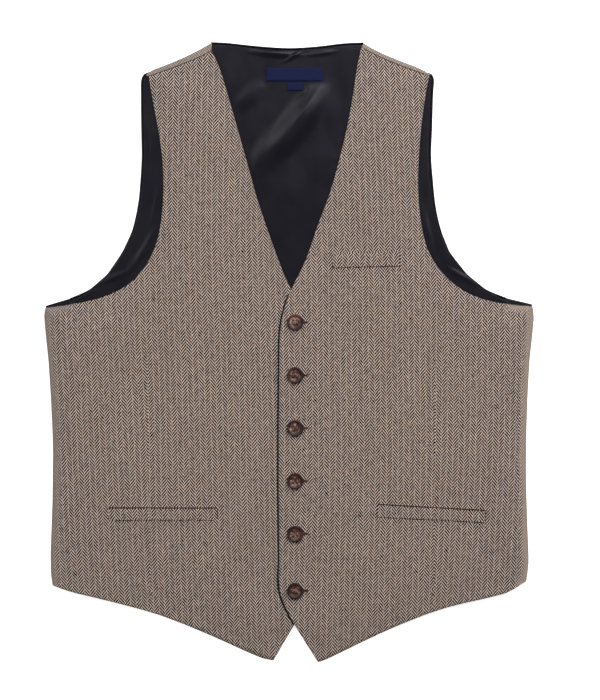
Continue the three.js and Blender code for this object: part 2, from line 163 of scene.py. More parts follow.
# Random unevenness of the cloth: width, length, seed and height
UNEVEN = {
    "front": (55, 70, 0.3, 0.45),
    "front_fine": (16, 22, 4.1, 0.1),
    "turn": (30, 12, 6.6, 1.6),
    "lining": (18, 42, 7.7, 0.4),
    "lining_fine": (8, 15, 2.2, 0.1),
    "seam": (6, 6, 3.3, 0.8),
    "seam_fine": (2, 2, 8.1, 0.25),
}

# A vertex belongs to a wall's edge where its normal is no more upright than this
UPRIGHT = 0.6

# How fine the meshes of the panels are, and how often their heights are evened out
PANEL_CUTS = 3
BACK_CUTS = 5
BARE_CUTS = 2
TRIM_CUTS = 3
SMOOTHING = 6

# Pressed edges of the fronts, and how much less their underside rises where it lies low
EDGE_PRESS = {"ridge": 0.22, "wide": 7.0, "trough": 0.16, "at": 9.0, "spread": 2.4}
FLAT_UNDER = {"less": 0.3, "below": 1}

# Buttons from the neck down: turn in degrees and tone of each, section by radius and height, holes and thread
BUTTONS = [f"button_{number}" for number in range(1, 7)]
BUTTON_TURNS = [4, -6, 9, -3, 5, -8]
BUTTON_TONES = [0.02, 0.02, -0.01, -0.01, -0.04, -0.05]
BUTTON_PROFILE = [
    (0, 0), (6.6, 0), (7.9, 0.32), (8.6, 1.0), (8.8, 1.8), (8.68, 2.45), (8.3, 2.92), (7.75, 3.14),
    (7.1, 3.1), (6.5, 2.82), (5.95, 2.4), (5.3, 2.08), (4.2, 1.86), (2.6, 1.76), (0, 1.74),
]
BUTTON_HOLE = {"radius": 1.2, "out": 2.1, "drill": 9}
BUTTON_THREAD = {"radius": 0.2, "level": 1.1, "arch": 1.35, "steps": 12}

# Worked buttonholes, from the middle of the button: the row of stitches and the slit that it goes round
BUTTONHOLE = {"start": -6.0, "end": 13.0, "pitch": 0.5, "inner": 0.25, "outer": 1.45, "slant": 0.05}
BUTTONHOLE_STITCH = {
    "radius": 0.24, "inner_rise": 0.12, "outer_rise": 0.02, "round_end": 7, "end_inner": 0.3,
}
# A dark block in each slit and a dark disc under each button's holes, both painted shade: their sizes and
# rise
SLIT_SHADE = {"width": 0.6, "height": 0.3, "rise": 0.04}
HOLE_SHADE = {"radius": 4, "height": 0.6, "rise": 0.2}

# Half the back's height, and where its outline is armhole and where it is neck
BACK_MIDDLE = 0.6
BACK_UPPER = {
    "underarm": 53, "middle": 60, "armhole_x": 100, "armhole_top": 299, "neck_x": 86, "neck_y": 300,
}

# Rolled edges of the back, and a dark tube under the edge of the left front that is painted shade where that
# edge casts its shadow
BACK_ROLL = {"radius": 1.05, "level": 1.45, "flatten": 1.25, "neck": -0.5, "armhole": 0.9}
FRONT_SHADOW_LINE = {"radius": 1.05, "inward": 0.6, "rise": 0.3, "top": 66, "foot": -291, "reach": 7}

# Corners of the welts as x and y, first the foot and then the mouth
WELT_SIDES = {
    "welt_chest": (47.0, 90.2, 117.5, 92.2, 47.0, 105.5, 117.5, 107.7),
    "welt_lower_left": (94.0, -174.8, 208.2, -180.8, 94.0, -162.0, 208.5, -168.5),
    "welt_lower_right": (-191.5, -178.6, -76.5, -178.2, -191.5, -165.7, -76.5, -166.0),
}

# Dark lines along a welt, painted shade in its mouth and thread with painted shade along its seams: radius
# and rise
WELT_LINES = {
    "mouth": (0.8, 0.2), "foot": (0.5, -0.3), "first_end": (0.5, -0.35), "last_end": (0.5, -0.25),
}

# Labels: flat size in metres, how much thinner they are than their solids and the stitches at their ends
LABELS = {"neck_label": (0.0605, 0.0144), "size_tab": (0.0164, 0.0101)}
LABEL_THINNER = 0.25
LABEL_STITCH = {"pitch": 1.7, "inside": 1.3, "outside": 0.5, "slant": 0.15, "fall": 0.6, "radius": 0.16}

# Cut of the fronts: flat size and area in metres, and what each lies on
FRONT_CUTS = {
    "right": {"flat": (0.29, 0.66), "area": 0.126, "rests_on": ["satin_lining", "satin_back"]},
    "left": {
        "flat": (0.28, 0.67), "area": 0.121,
        "rests_on": ["satin_lining", "satin_back", "tweed_front_right"],
    },
}

# Stage: two soft lights by place and width in metres, power and colour, and a pale room
LIGHTS = {
    "key": ((1.0, 1.85, 2.35), 1.9, 106, (0.99, 0.97, 0.985)),
    "fill": ((-2.0, 1.35, 2.9), 1.8, 48, (1, 1, 0.95)),
}
ROOM_LIGHT = 0.36
FLOOR_SIZE = 6


def metres(*values):
    """Millimetres as a vector in metres."""
    return Vector([value * MM for value in values])


def smoothstep(low, high, value):
    share = min(max((value - low) / (high - low), 0), 1)
    return share * share * (3 - 2 * share)


def between(table, value):
    """Value of a falling table of (place, value) rows at a place."""
    for (high, first), (low, second) in zip(table, table[1:]):
        if value >= low:
            return first + (second - first) * min((high - value) / (high - low), 1)
    return table[-1][1]


def uneven(kind, x, y):
    """Random unevenness of a kind at a place, in millimetres."""
    wide, long, seed, height = UNEVEN[kind]
    return noise.noise(Vector((x / wide, y / long, seed))) * height


def swell(folds, x, y):
    """Height of a table of soft folds at a place, in millimetres."""
    total = 0
    for centre_x, centre_y, long, left, right, turn, rise in folds:
        dx = x - centre_x
        dy = y - centre_y
        if math.hypot(dx, dy) > long + left + right:
            continue
        angle = math.radians(turn)
        along = (dx * math.cos(angle) + dy * math.sin(angle)) / long
        across = dy * math.cos(angle) - dx * math.sin(angle)
        across /= left if across > 0 else right
        reach = math.hypot(along, across)
        if reach < 1:
            total += rise * math.cos(reach * math.pi / 2) ** 2
    return total


def distance_to(points):
    """A function that gives how far a place is from the nearest of some points, in millimetres."""
    tree = kdtree.KDTree(len(points))
    for index, point in enumerate(points):
        tree.insert((point.x, point.y, 0), index)
    tree.balance()
    return lambda x, y: tree.find((x * MM, y * MM, 0))[2] / MM


def close_points(points):
    """Points of an outline, with more put in between where they are near each other."""
    close = list(points)
    for first, second in zip(points, points[1:]):
        length = (second - first).length
        if length < EDGE_POINTS["gap"] * MM:
            steps = int(length / (EDGE_POINTS["apart"] * MM)) + 1
            close += [first.lerp(second, step / steps) for step in range(1, steps)]
    return close


def outline_of(node, level):
    """The points round a solid's edge, in order: its ring at a height, or else its outermost ring."""
    bm = bmesh.new()
    bm.from_mesh(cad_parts[node].data)
    bmesh.ops.remove_doubles(bm, verts=bm.verts, dist=MERGE_WITHIN * MM)
    bm.normal_update()
    if level is None:
        ring = {vert for vert in bm.verts if abs(vert.normal.z) < 0.35}
    else:
        ring = {vert for vert in bm.verts if abs(vert.co.z - level * MM) < 0.01 * MM}
    start = min(ring, key=lambda vert: vert.co.y)
    order = [start]
    while True:
        ahead = [
            edge.other_vert(order[-1]) for edge in order[-1].link_edges
            if edge.other_vert(order[-1]) in ring and edge.other_vert(order[-1]) not in order
        ]
        if not ahead:
            break
        order.append(ahead[0])
    points = [vert.co.copy() for vert in order]
    bm.free()
    return points


def part_of_edge(point):
    """The part of a front's edge that a point belongs to."""
    x, y = abs(point.x) / MM, point.y / MM
    if y < HEM_CORNER["seam_ends"] or (y < HEM_CORNER["y"] and x < HEM_CORNER["x"]):
        return "hem"
    if x > HEM_CORNER["x"] and y < UNDERARM:
        return "seam"
    above = y - NECK_FOOT["y"]
    if x > NECK_FOOT["x"] + NECK_FOOT["slope"] * max(above, 0):
        return "side"
    return "neck" if above > 0 else "closing"


FRONT_EDGES = [
    point for side in ("left", "right") for point in close_points(outline_of(f"front_{side}", None))
]
TO_EDGE = {
    part: distance_to([point for point in FRONT_EDGES if part_of_edge(point) == part])
    for part in ("seam", "side", "hem", "neck")
}


def rounded_to(part, x, y):
    """0 at a part of the fronts' edges and 1 past its rounding."""
    return 1 - (1 - min(TO_EDGE[part](x, y) / ROUNDING[part], 1)) ** 2


def front_relief(x, y):
    """Rise of the fronts and of what is sewn on them, in millimetres."""
    clear = smoothstep(22, 60, abs(x - 6))
    held = 0.2 + 0.8 * smoothstep(2, ROUNDING["neck"], TO_EDGE["neck"](x, y))
    body = ROUNDING["rise"] * held
    for part in ("seam", "side", "hem"):
        body *= rounded_to(part, x, y)
    soft = uneven("front", x, y) * (0.3 + 0.7 * clear)
    return body + soft + uneven("front_fine", x, y) + swell(FRONT_CREASES, x, y) * clear


class Wire:
    """An output of a node. Used in an expression, it adds the Math nodes of that expression."""

    def __init__(self, finish, socket):
        self.finish = finish
        self.socket = socket

    def math(self, operation, *others):
        return self.finish.node("ShaderNodeMath", {"operation": operation}, [self, *others])

    def before(self, operation, other):
        return self.finish.node("ShaderNodeMath", {"operation": operation}, [other, self])

    def __add__(self, other):
        return self.math("ADD", other)

    def __radd__(self, other):
        return self.before("ADD", other)

    def __sub__(self, other):
        return self.math("SUBTRACT", other)

    def __rsub__(self, other):
        return self.before("SUBTRACT", other)

    def __mul__(self, other):
        return self.math("MULTIPLY", other)

    def __rmul__(self, other):
        return self.before("MULTIPLY", other)

    def __truediv__(self, other):
        return self.math("DIVIDE", other)

    def __mod__(self, other):
        return self.math("FLOORED_MODULO", other)

    def __abs__(self):
        return self.math("ABSOLUTE")

    def whole(self):
        return self.math("FLOOR")

    def part(self):
        return self.math("FRACT")

    def soft(self, low, high):
        """0 below low, 1 above high and a smooth step between."""
        settings = {"interpolation_type": "SMOOTHSTEP"}
        inputs = {"Value": self, "From Min": low, "From Max": high}
        return self.finish.node("ShaderNodeMapRange", settings, inputs)

    def outputs(self):
        """All the outputs of this one's node."""
        return [Wire(self.finish, socket) for socket in self.socket.node.outputs]


class Finish:
    """A material in the making."""

    def __init__(self, name):
        self.material = bpy.data.materials.new(name)
        self.material.use_nodes = True
        self.tree = self.material.node_tree
        self.tree.nodes.clear()

    def node(self, kind, settings=None, inputs=(), out=0):
        """Adds a node: first its settings, then the values or links of its sockets. Gives an output."""
        node = self.tree.nodes.new(kind)
        for key, value in (settings or {}).items():
            if key == "stops":
                elements = node.color_ramp.elements
                while len(elements) < len(value):
                    elements.new(1)
                for element, (place, colour) in zip(elements, value):
                    element.position = place
                    element.color = (*colour, 1)
            else:
                setattr(node, key, value)
        pairs = inputs.items() if isinstance(inputs, dict) else enumerate(inputs)
        for key, value in pairs:
            socket = node.inputs[key]
            if isinstance(value, Wire):
                self.tree.links.new(value.socket, socket)
            elif socket.type == "RGBA":
                socket.default_value = (*value, 1)
            else:
                socket.default_value = value
        return Wire(self, node.outputs[out]) if node.outputs else None

    def place(self):
        """Object coordinates."""
        return self.node("ShaderNodeTexCoord", out="Object")

    def stored(self, name, out="Vector"):
        """An attribute that the mesh carries."""
        return self.node("ShaderNodeAttribute", {"attribute_name": name}, out=out)

    def axes(self, vector):
        """The x, y and z of a vector."""
        return self.node("ShaderNodeSeparateXYZ", {}, [vector]).outputs()

    def spot(self, x=0.0, y=0.0, z=0.0):
        """A vector from its x, y and z."""
        return self.node("ShaderNodeCombineXYZ", {}, [x, y, z])

    def cloud(self, vector, scale, detail=2.0, roughness=0.5):
        """Soft noise from 0 to 1."""
        inputs = {"Vector": vector, "Scale": scale, "Detail": detail, "Roughness": roughness}
        return self.node("ShaderNodeTexNoise", {}, inputs)

    def mix(self, factor, first, second, blend="MIX"):
        """Two colours mixed by a factor. A Mix node has its colours at inputs 6 and 7 and at output 2."""
        settings = {"data_type": "RGBA", "blend_type": blend}
        return self.node("ShaderNodeMix", settings, {0: factor, 6: first, 7: second}, 2)

    def bump(self, height, strength, distance):
        """A normal from a height, with its depth in millimetres."""
        inputs = {"Height": height, "Strength": strength, "Distance": distance * MM}
        return self.node("ShaderNodeBump", {}, inputs)

    def done(self, **values):
        """Adds the shader and the output, and gives the material."""
        inputs = {}
        for key, value in values.items():
            inputs[key.replace("_", " ").title().replace("Ior", "IOR")] = value
        shader = self.node("ShaderNodeBsdfPrincipled", {}, inputs)
        self.node("ShaderNodeOutputMaterial", {}, {"Surface": shader})
        return self.material


def herringbone(number, pick):
    """Where each crossing is in its four steps of a two-and-two twill that turns after each column."""
    turn = COLUMN_THREADS - 0.5
    repeat = number % (2 * COLUMN_THREADS)
    turned_back = repeat.math("GREATER_THAN", turn)
    step = turn - abs(repeat - turn) + turned_back * 2
    return (pick + step) % 4


def tweed(name, evenness):
    """Herringbone in pale and dark yarn, thread by thread, and more even where the cloth rolls over, where it
    is painted lighter towards the right and darker towards the left as light and shade.
    """
    finish = Finish(name)
    grain = finish.stored("grain")
    x, y, roll = finish.axes(grain)
    wander = (finish.cloud(grain, 9, 1) - 0.5) * (1.6 * MM)
    thread = (x + wander) / (WARP_PITCH * MM)
    pick = (y + wander) / (WEFT_PITCH * MM)
    number = thread.whole()
    phase = herringbone(number, pick)
    at_edge = abs(number % COLUMN_THREADS - (COLUMN_THREADS - 1) / 2).math("GREATER_THAN", 3.2)
    warp_shade = finish.cloud(finish.spot(number * 7.3, y * 16), 1, 1)
    warp_slub = finish.cloud(finish.spot(number * 0.55, y * 130), 1, 2)
    weft_slub = finish.cloud(finish.spot(x * 90, pick.whole() * 0.37, 5.0), 1, 2)
    thickness = (warp_slub - 0.5) * 0.5 + (weft_slub - 0.5) * 0.4 + at_edge * 0.2
    pale = (1 - abs(phase - 1) + thickness).soft(0.305, 0.525)
    across_warp = thread.part() - 0.5
    across_weft = pick.part() - 0.5
    warp_round = 1 - across_warp * across_warp * 3.2
    weft_round = 0.9 - across_weft * across_weft * 3.2
    height = pale * warp_round + (1 - pale) * weft_round * 0.8

    fibre = finish.cloud(grain, 1500, 2, 0.7)
    mottle = finish.cloud(grain, 42, 3, 0.6)
    hue = finish.cloud(grain, 75, 2, 0.6)

    pale_yarn = finish.mix(hue.soft(0.36, 0.64), (0.53, 0.434, 0.37), (0.5, 0.43, 0.388))
    dark_yarn = finish.mix(warp_slub.soft(0.3, 0.7), (0.018, 0.007, 0.0035), (0.028, 0.0122, 0.0075))
    pale_light = 0.47 + warp_shade * 0.66 + warp_slub * 0.58
    dark_light = 0.1 + weft_slub * 0.8
    light = pale * pale_light + (1 - pale) * dark_light
    light = light * (0.84 + fibre * 0.3) * (0.93 + mottle * 0.14)
    grey = finish.node("ShaderNodeCombineColor", {}, [light, light, light])
    yarn = finish.mix(pale, dark_yarn, pale_yarn)
    crisp = finish.mix(1.0, yarn, grey, "MULTIPLY")
    # The even colour of the rolled margins grows lighter with x: painted light on the right-hand margins and
    # painted shade on the left-hand ones.
    even = finish.mix(fibre * 0.6 + mottle * 0.4 + x * 1.3, (0.17, 0.141, 0.13), (0.3, 0.24, 0.198))
    colour = finish.mix((roll * 0.82).math("MAXIMUM", evenness), crisp, even)
    relief = finish.bump(height + fibre * 0.35, 0.3, 0.1)
    return finish.done(
        base_color=colour, roughness=0.95, normal=relief, sheen_weight=0.04, sheen_roughness=0.5,
        specular_ior_level=0.08,
    )


def satin(name, dark, bright, roughness):
    """Black satin: fine slanting weave, softly uneven sheen."""
    finish = Finish(name)
    place = finish.place()
    x, y, _ = finish.axes(place)
    weave = ((x + y * 0.35) / (0.32 * MM)).part() - 0.5
    ribs = 1 - weave * weave * 4
    cloud = finish.cloud(place, 26, 3, 0.55)
    colour = finish.mix(cloud.soft(0.3, 0.75), dark, bright)
    relief = finish.bump(ribs + finish.cloud(place, 900, 2) * 0.6, 0.1, 0.05)
    rough = roughness + (cloud - 0.5) * 0.12
    return finish.done(
        base_color=colour, roughness=rough, normal=relief, specular_ior_level=0.19,
        specular_tint=(0.9, 0.87, 1.0),
    )


def resin():
    """Marbled brown resin: a dark rim, a paler dish and a dull polish."""
    finish = Finish("button_resin")
    local = finish.stored("local")
    x, y, height = finish.axes(local)
    drift = finish.cloud(local, 130, 4, 0.6)
    bend = finish.spot(x + drift * 0.012, y - drift * 0.009, drift * 0.004)
    veins = finish.cloud(bend, 230, 5, 0.62)
    specks = finish.cloud(local, 1400, 2)
    dish = 1 - (height / MM).soft(1.9, 2.7)
    stops = [
        (0.38, (0.010, 0.003, 0.0022)), (0.5, (0.034, 0.011, 0.0078)), (0.6, (0.1, 0.041, 0.028)),
        (0.72, (0.34, 0.21, 0.16)),
    ]
    tone = veins + (specks - 0.5) * 0.06 + (dish - 0.5) * 0.14 + finish.stored("tone", "Fac")
    colour = finish.node("ShaderNodeValToRGB", {"stops": stops}, [tone])
    relief = finish.bump(specks, 0.08, 0.05)
    rough = 0.46 + (drift - 0.5) * 0.12
    return finish.done(
        base_color=colour, roughness=rough, normal=relief, specular_ior_level=0.26, coat_weight=0.04,
        coat_roughness=0.2,
    )


def tape():
    """Tightly woven navy tape with fine ribs."""
    finish = Finish("label_tape")
    place = finish.place()
    x, y, _ = finish.axes(place)
    ribs = 1 - abs((y / (0.42 * MM)).part() - 0.5) * 2
    threads = 1 - abs((x / (0.3 * MM)).part() - 0.5) * 2
    cloud = finish.cloud(place, 260, 3)
    colour = finish.mix(ribs * 0.55 + cloud * 0.4, (0.002, 0.0036, 0.022), (0.005, 0.0084, 0.051))
    relief = finish.bump(ribs * 0.7 + threads * 0.5, 0.4, 0.12)
    return finish.done(base_color=colour, roughness=0.62, normal=relief, specular_ior_level=0.1)


def thread(name, dark, bright):
    """Twisted sewing thread."""
    finish = Finish(name)
    place = finish.place()
    x, y, z = finish.axes(place)
    twist = ((x + y + z) / (0.34 * MM)).part() - 0.5
    ply = 1 - twist * twist * 4
    colour = finish.mix(ply * 0.7 + finish.cloud(place, 900, 2) * 0.3, dark, bright)
    relief = finish.bump(ply, 0.4, 0.08)
    return finish.done(base_color=colour, roughness=0.6, normal=relief, specular_ior_level=0.12)


def paper():
    """The pale surface under the garment. It is clear from below, where the garment's underside shows."""
    finish = Finish("pale_surface")
    tone = finish.cloud(finish.place(), 3, 2)
    colour = finish.mix(tone, (0.93, 0.93, 0.93), (0.95, 0.95, 0.95))
    seen_from_above = 1 - finish.node("ShaderNodeNewGeometry", out="Backfacing")
    return finish.done(
        base_color=colour, roughness=0.7, specular_ior_level=0.2, emission_color=(1, 1, 1),
        emission_strength=0.6, alpha=seen_from_above,
    )


FINISHES = {
    "tweed": tweed("tweed_herringbone", 0.0),
    "rolled_tweed": tweed("tweed_rolled", 0.6),
    # The back's black satin, also the colour of the dark pieces that are painted shade
    "back_satin": satin("back_satin", (0.002, 0.002, 0.004), (0.0036, 0.0034, 0.0056), 0.4),
    "lining_satin": satin("lining_satin", (0.0022, 0.0022, 0.0046), (0.0042, 0.004, 0.006), 0.34),
    "button_resin": resin(),
    "label_tape": tape(),
    "button_thread": thread("button_thread", (0.1, 0.06, 0.045), (0.26, 0.18, 0.14)),
    "brown_thread": thread("brown_thread", (0.03, 0.013, 0.009), (0.11, 0.052, 0.036)),
    "seam_shade": thread("seam_shade", (0.013, 0.006, 0.0035), (0.03, 0.015, 0.01)),
    "navy_thread": thread("navy_thread", (0.01, 0.012, 0.05), (0.03, 0.04, 0.13)),
}


def mesh_of(name, bm):
    """A mesh from a bmesh, which this uses up."""
    mesh = bpy.data.meshes.new(name)
    bm.to_mesh(mesh)
    bm.free()
    return mesh


def placed(name, data):
    """A new object in the scene."""
    item = bpy.data.objects.new(name, data)
    bpy.context.scene.collection.objects.link(item)
    return item


def finished(name, bm, finish, replaced=()):
    """A piece of the object from a bmesh, with its finish and body, and the solids that it replaces hidden.
    """
    mesh = mesh_of(name, bm)
    for polygon in mesh.polygons:
        polygon.use_smooth = True
    piece = placed(name, mesh)
    mesh.materials.append(FINISHES[finish])
    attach(piece, "root")
    if replaced:
        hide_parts(*replaced)
    return piece


def copy_of(node, cuts):
    """The mesh of a solid with its seams closed and its faces joined in fours, then cut finer."""
    bm = bmesh.new()
    bm.from_mesh(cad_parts[node].data)
    bmesh.ops.remove_doubles(bm, verts=bm.verts, dist=MERGE_WITHIN * MM)
    bmesh.ops.join_triangles(
        bm, faces=bm.faces, angle_face_threshold=math.radians(40),
        angle_shape_threshold=math.radians(60),
    )
    bmesh.ops.subdivide_edges(bm, edges=bm.edges, cuts=cuts, use_grid_fill=True)
    bm.normal_update()
    return bm


def sides_of(bm):
    """The vertices of a wall's top, underside and edge."""
    top = [vert for vert in bm.verts if vert.normal.z > UPRIGHT]
    under = [vert for vert in bm.verts if vert.normal.z < -UPRIGHT]
    edge = [vert for vert in bm.verts if abs(vert.normal.z) <= UPRIGHT]
    return top, under, edge


def soften(bm, verts, times):
    """Evens out the height of vertices."""
    for _ in range(times):
        bmesh.ops.smooth_vert(
            bm, verts=verts, factor=0.5, use_axis_x=False, use_axis_y=False, use_axis_z=True,
        )


def round_edge(bm, edge, times=2):
    """Rounds the section of a wall's edge."""
    for _ in range(times):
        bmesh.ops.smooth_vert(
            bm, verts=edge, factor=0.35, use_axis_x=True, use_axis_y=True, use_axis_z=True,
        )


def dart_place(dart, y):
    """The x of a dart at a height, and how far that is below the dart's top."""
    top_x, top_y = dart["top"]
    hem_x, hem_y = dart["hem"]
    share = (top_y - y) / (top_y - hem_y)
    return top_x + (hem_x - top_x) * share, top_y - y


def lean_shift(table, y):
    """How far the warp has leaned at a height, counted from the middle, in millimetres."""
    total = 0
    for index in range(LEAN_STEPS):
        middle = y * (index + 0.5) / LEAN_STEPS
        total += math.tan(math.radians(between(table, middle))) * y / LEAN_STEPS
    return total


def lay_grain(bm, side, offset=(0, 0), edge=None):
    """Stores at each face's corners the place on the cloth, in warp and weft, and where it rolls over, which
    also places the painted light and shade of the rolled margins.
    """
    even = {}
    for vert in bm.verts if edge else ():
        turned = turned_over(vert.co.x / MM, vert.co.y / MM) ** 0.5
        even[vert] = TURN_OVER["even"] * smoothstep(0.1, 0.9, turned)
    for vert in edge or ():
        even[vert] = 1.0
    layer = bm.loops.layers.float_vector.new("grain")
    table = LEAN_RIGHT if side == "right" else LEAN_LEFT
    dart = DARTS[side]
    shifts = {}
    for face in bm.faces:
        centre = face.calc_center_median()
        for loop in face.loops:
            x, y = loop.vert.co.x / MM, loop.vert.co.y / MM
            key = round(y, 1)
            if key not in shifts:
                shifts[key] = lean_shift(table, y)
            across = x + shifts[key]
            line, below = dart_place(dart, centre.y / MM)
            if below > 0 and (centre.x / MM - line) * dart["side"] > 0:
                across += dart["side"] * dart["take"] * below
            loop[layer] = (*metres(across + offset[0], y + offset[1]), even.get(loop.vert, 0))


def turned_over(x, y):
    """How far the cloth has turned over a side seam at a place, from 0 to 1."""
    away = TO_EDGE["seam"](x, y) + uneven("turn", x, y)
    return (1 - min(max(away, 0) / TURN_OVER["over"], 1)) ** 2


def front_panel(side):
    """One tweed front: soft relief, pressed edges, dart and grain."""
    node = f"front_{side}"
    bm = copy_of(node, PANEL_CUTS)
    top, under, edge = sides_of(bm)
    to_edge = distance_to([vert.co for vert in edge])
    soften(bm, top, SMOOTHING)
    soften(bm, under, SMOOTHING)
    dart = DARTS[side]
    press = EDGE_PRESS
    for vert in top:
        x, y = vert.co.x / MM, vert.co.y / MM
        away = to_edge(x, y)
        ridge = press["ridge"] * (1 - smoothstep(press["wide"] - 3, press["wide"] + 1, away))
        trough = press["trough"] * math.exp(-(((away - press["at"]) / press["spread"]) ** 2))
        line, below = dart_place(dart, y)
        seam = DART_TROUGH["depth"] * math.exp(-(((x - line) / DART_TROUGH["width"]) ** 2))
        seam *= smoothstep(0, DART_FADE, below)
        turned = TURN_OVER["drop"] * turned_over(x, y)
        vert.co.z += (front_relief(x, y) + ridge - trough - seam - turned) * MM
    for vert in under + edge:
        relief = front_relief(vert.co.x / MM, vert.co.y / MM)
        less = FLAT_UNDER["less"] if vert.co.z < FLAT_UNDER["below"] * MM else 0
        vert.co.z += max(relief - less, 0) * MM
    round_edge(bm, edge)
    lay_grain(bm, side, edge=edge)
    piece = finished(f"tweed_{node}", bm, "tweed", [node])
    return piece


def strip_cut(side, width):
    """The cut of the narrow strip past a shoulder seam."""
    return {
        "side": side, "offset": (3, 2), "flat": (width, 0.011), "area": width * 0.008, "held": "folded",
        "rests_on": ["satin_back"], "follow": 0, "thinner": 0, "finish": "rolled_tweed",
    }


def welt_cut(side, offset, flat):
    """The cut of a pocket welt."""
    return {
        "side": side, "offset": offset, "flat": flat, "area": None, "held": "laid",
        "rests_on": [f"tweed_front_{side}"], "follow": 1, "thinner": 0.45, "finish": "tweed",
    }


def tweed_trim(node, cut):
    """A strip or welt of tweed that lies on a front or next to it."""
    bm = copy_of(node, TRIM_CUTS)
    top, _, edge = sides_of(bm)
    soften(bm, top, 2)
    for vert in bm.verts:
        vert.co.z += front_relief(vert.co.x / MM, vert.co.y / MM) * MM * cut["follow"]
    for vert in top:
        vert.co.z -= cut["thinner"] * MM
    round_edge(bm, edge, 3)
    lay_grain(bm, cut["side"], cut["offset"])
    piece = finished(f"tweed_{node}", bm, cut["finish"], [node])


def tree_of(mesh):
    """A mesh's faces, for rays."""
    places = [vertex.co for vertex in mesh.vertices]
    return BVHTree.FromPolygons(places, [polygon.vertices for polygon in mesh.polygons])


def covered_by(nodes):
    """A function that says whether a place lies under one of some solids."""
    trees = [tree_of(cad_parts[node].data) for node in nodes]
    up = Vector((0, 0, 1))
    return lambda place: any(tree.ray_cast(place, up, 0.02)[0] for tree in trees)


def lining_panel():
    """The satin lining, with its folds raised where it shows."""
    bm = copy_of("back_lining", BACK_CUTS)
    top, under, edge = sides_of(bm)
    soften(bm, top, SMOOTHING)
    soften(bm, under, SMOOTHING)
    covered = covered_by(["front_left", "front_right"])
    above = metres(0, 0, 0.1)
    bare = {vert for vert in top if not covered(vert.co + above)}
    shown_edges = [item for item in bm.edges if item.verts[0] in bare and item.verts[1] in bare]
    bmesh.ops.subdivide_edges(bm, edges=shown_edges, cuts=BARE_CUTS, use_grid_fill=True)
    bm.normal_update()
    top, under, edge = sides_of(bm)
    covered = covered_by(["front_left", "front_right", "neck_label", "size_tab"])
    hidden = [vert.co.copy() for vert in top if covered(vert.co + above)]
    to_hidden = distance_to(hidden)
    for vert in top + edge:
        x, y = vert.co.x / MM, vert.co.y / MM
        shown = smoothstep(1.5, 9, to_hidden(x, y))
        rise = swell(LINING_FOLDS, x, y) + (uneven("lining", x, y) + uneven("lining_fine", x, y))
        vert.co.z += max(rise, -0.5) * shown * MM
    round_edge(bm, edge)
    piece = finished("satin_lining", bm, "lining_satin", ["back_lining"])


def tube(bm, points, radius, sides=10, flatten=1.0):
    """A closed tube with flat ends along a line of points."""
    rings = []
    last = len(points) - 1
    for index, point in enumerate(points):
        ahead = points[min(index + 1, last)] - points[max(index - 1, 0)]
        turn = ahead.to_track_quat("Z", "Y").to_matrix().to_4x4()
        place = Matrix.Translation(point) @ Matrix.Diagonal((1, 1, flatten, 1)) @ turn
        ring = bmesh.ops.create_circle(
            bm, cap_ends=index in (0, last), segments=sides, radius=radius, matrix=place,
        )
        rings.append(ring["verts"])
    for first, second in zip(rings, rings[1:]):
        edges = [edge for verts in (first, second) for edge in ring_edges(verts)]
        bmesh.ops.bridge_loops(bm, edges=edges)


def ring_edges(verts):
    """The edges that join the vertices of a ring to each other."""
    inside = set(verts)
    return {edge for vert in verts for edge in vert.link_edges if edge.other_vert(vert) in inside}


def back_panel():
    """The black satin back, with a rolled edge at its neck and armholes."""
    bm = copy_of("back", BACK_CUTS)
    _, under, edge = sides_of(bm)
    to_edge = distance_to([vert.co for vert in edge])
    for vert in under:
        inside = smoothstep(2, 14, to_edge(vert.co.x / MM, vert.co.y / MM))
        vert.co.z += swell(BACK_TROUGHS, vert.co.x / MM, vert.co.y / MM) * inside * MM
    round_edge(bm, [vert for vert in edge if vert.co.z > 0.3 * MM], 1)
    piece = finished("satin_back", bm, "back_satin", ["back"])
    rolls = [back_roll(name, points) for name, points in back_edges().items()]


def back_edges():
    """The armholes and the neck of the back, as points in order."""
    place = {name: value * MM for name, value in BACK_UPPER.items()}
    upper = [point for point in outline_of("back", BACK_MIDDLE) if point.y > place["underarm"]]
    upper.sort(key=lambda point: math.atan2(point.x, point.y - place["middle"]))
    armholes = [point for point in upper if point.y < place["armhole_top"]]
    return {
        "armhole_right": [point for point in armholes if point.x < -place["armhole_x"]],
        "neck": [p for p in upper if abs(p.x) < place["neck_x"] and p.y > place["neck_y"]],
        "armhole_left": [point for point in armholes if point.x > place["armhole_x"]],
    }


def back_roll(name, points):
    """A rolled edge along a part of the back's outline."""
    at_neck = name == "neck"
    inset = BACK_ROLL["neck" if at_neck else "armhole"]
    line = []
    for point in points:
        towards = Vector((point.x, -0.2, 0)) if at_neck else Vector((point.x * 0.4, 0, 0))
        inward = towards - point
        inward.z = 0
        place = point + inward.normalized() * (inset * MM)
        place.z = BACK_ROLL["level"] * MM
        line.append(place)
    bm = bmesh.new()
    tube(bm, smoothed(line, 4), BACK_ROLL["radius"] * MM, 10, BACK_ROLL["flatten"])
    return finished(f"rolled_edge_{name}", bm, "back_satin")


def smoothed(points, steps):
    """Points of a smooth line through some points."""
    line = []
    last = len(points) - 1
    for index in range(last):
        before, start = points[max(index - 1, 0)], points[index]
        end, after = points[index + 1], points[min(index + 2, last)]
        for step in range(steps):
            t = step / steps
            bend = (2 * before - 5 * start + 4 * end - after) * t * t
            twist = (3 * start - before - 3 * end + after) * t ** 3
            line.append(0.5 * (2 * start + (end - before) * t + bend + twist))
    line.append(points[-1])
    return line


